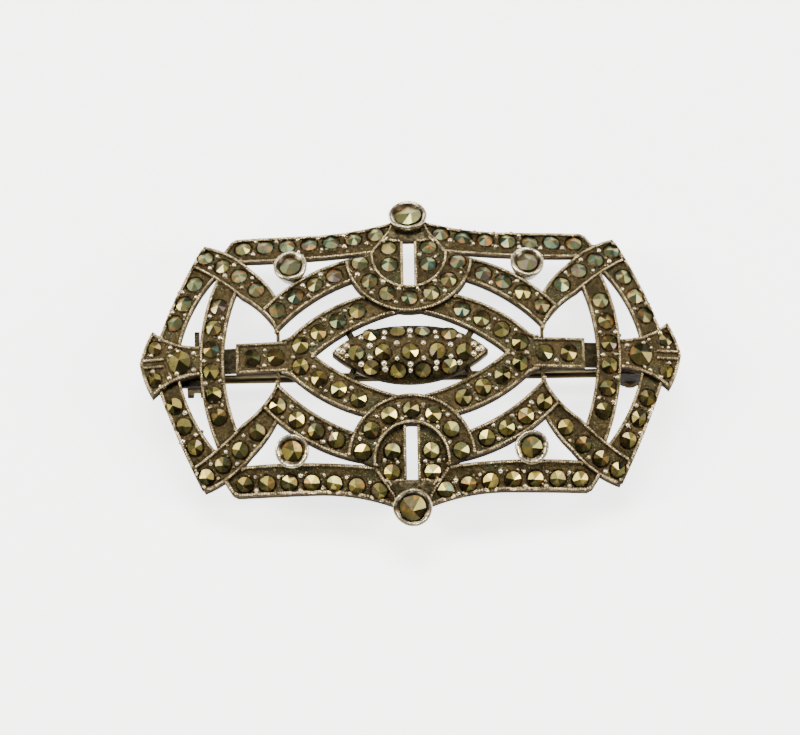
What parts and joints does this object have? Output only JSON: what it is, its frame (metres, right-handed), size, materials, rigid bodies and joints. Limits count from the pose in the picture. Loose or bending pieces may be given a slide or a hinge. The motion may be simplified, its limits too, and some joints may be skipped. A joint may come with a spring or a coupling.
{
  "type": "marcasite plaque brooch",
  "caption": "Domed openwork Art Deco brooch of interlaced silver ribbons set with faceted marcasites, with a hinged pin and a rotating safety catch.",
  "frame": {"origin": "middle of the outline seen from the front, on the plane of the lowest finding (the catch) when the brooch lies face up", "axes": "+X along the length towards the hinge, +Y towards the top edge, +Z out of the face"},
  "size_m": [0.05, 0.0312, 0.0095],
  "materials": {
    "oxidised_silver": "satin",
    "bright_silver": "satin",
    "marcasite": "polished",
    "pin_metal": "satin"
  },
  "bodies": {
    "plaque": {"rail_top_right": "oxidised_silver", "rail_top_left": "oxidised_silver", "rail_bottom_right": "oxidised_silver", "rail_bottom_left": "oxidised_silver", "corner_bar_top_right": "oxidised_silver", "corner_bar_top_left": "oxidised_silver", "corner_bar_bottom_right": "oxidised_silver", "corner_bar_bottom_left": "oxidised_silver", "side_border_top_right": "oxidised_silver", "side_border_top_left": "oxidised_silver", "side_border_bottom_right": "oxidised_silver", "side_border_bottom_left": "oxidised_silver", "swag_top_right": "oxidised_silver", "swag_top_left": "oxidised_silver", "swag_bottom_right": "oxidised_silver", "swag_bottom_left": "oxidised_silver", "inner_arch_top_right": "oxidised_silver", "inner_arch_top_left": "oxidised_silver", "inner_arch_bottom_right": "oxidised_silver", "inner_arch_bottom_left": "oxidised_silver", "small_collet_top_right": "bright_silver", "small_collet_top_left": "bright_silver", "small_collet_bottom_right": "bright_silver", "small_collet_bottom_left": "bright_silver", "cross_bar_right": "oxidised_silver", "cross_bar_left": "oxidised_silver", "side_arc_right": "oxidised_silver", "side_arc_left": "oxidised_silver", "end_cap_right": "oxidised_silver", "end_cap_left": "oxidised_silver", "half_ring_top": "oxidised_silver", "half_ring_bottom": "oxidised_silver", "slot_plate_top": "oxidised_silver", "slot_plate_bottom": "oxidised_silver", "large_collet_top": "bright_silver", "large_collet_bottom": "bright_silver", "navette_cup": "oxidised_silver", "navette_struts": "oxidised_silver", "rail_stones": "marcasite", "corner_stones": "marcasite", "border_stones": "marcasite", "swag_stones": "marcasite", "arch_stones": "marcasite", "bar_stones": "marcasite", "slot_stones": "marcasite", "ring_stones": "marcasite", "arc_stones": "marcasite", "cap_large_stones": "marcasite", "cap_small_stones": "marcasite", "navette_stones": "marcasite", "large_collet_stones": "marcasite", "small_collet_stones": "marcasite", "hinge_bracket": "oxidised_silver", "hinge_rivet": "pin_metal", "catch_housing": "oxidised_silver"},
    "pin": {"pin_stem": "pin_metal"},
    "catch_lever": {"catch_rotor": "oxidised_silver"}
  },
  "joints": [
    {"name": "pin_hinge", "type": "hinge", "parent": "plaque", "child": "pin", "pos_m": [0.0204, -0.00045, 0.0017], "axis": [0, -1, 0], "range_deg": [0, 110]},
    {"name": "catch_turn", "type": "hinge", "parent": "plaque", "child": "catch_lever", "pos_m": [-0.01985, -0.00045, 0.0017], "axis": [-1, 0, 0], "range_deg": [0, 90]}
  ]
}
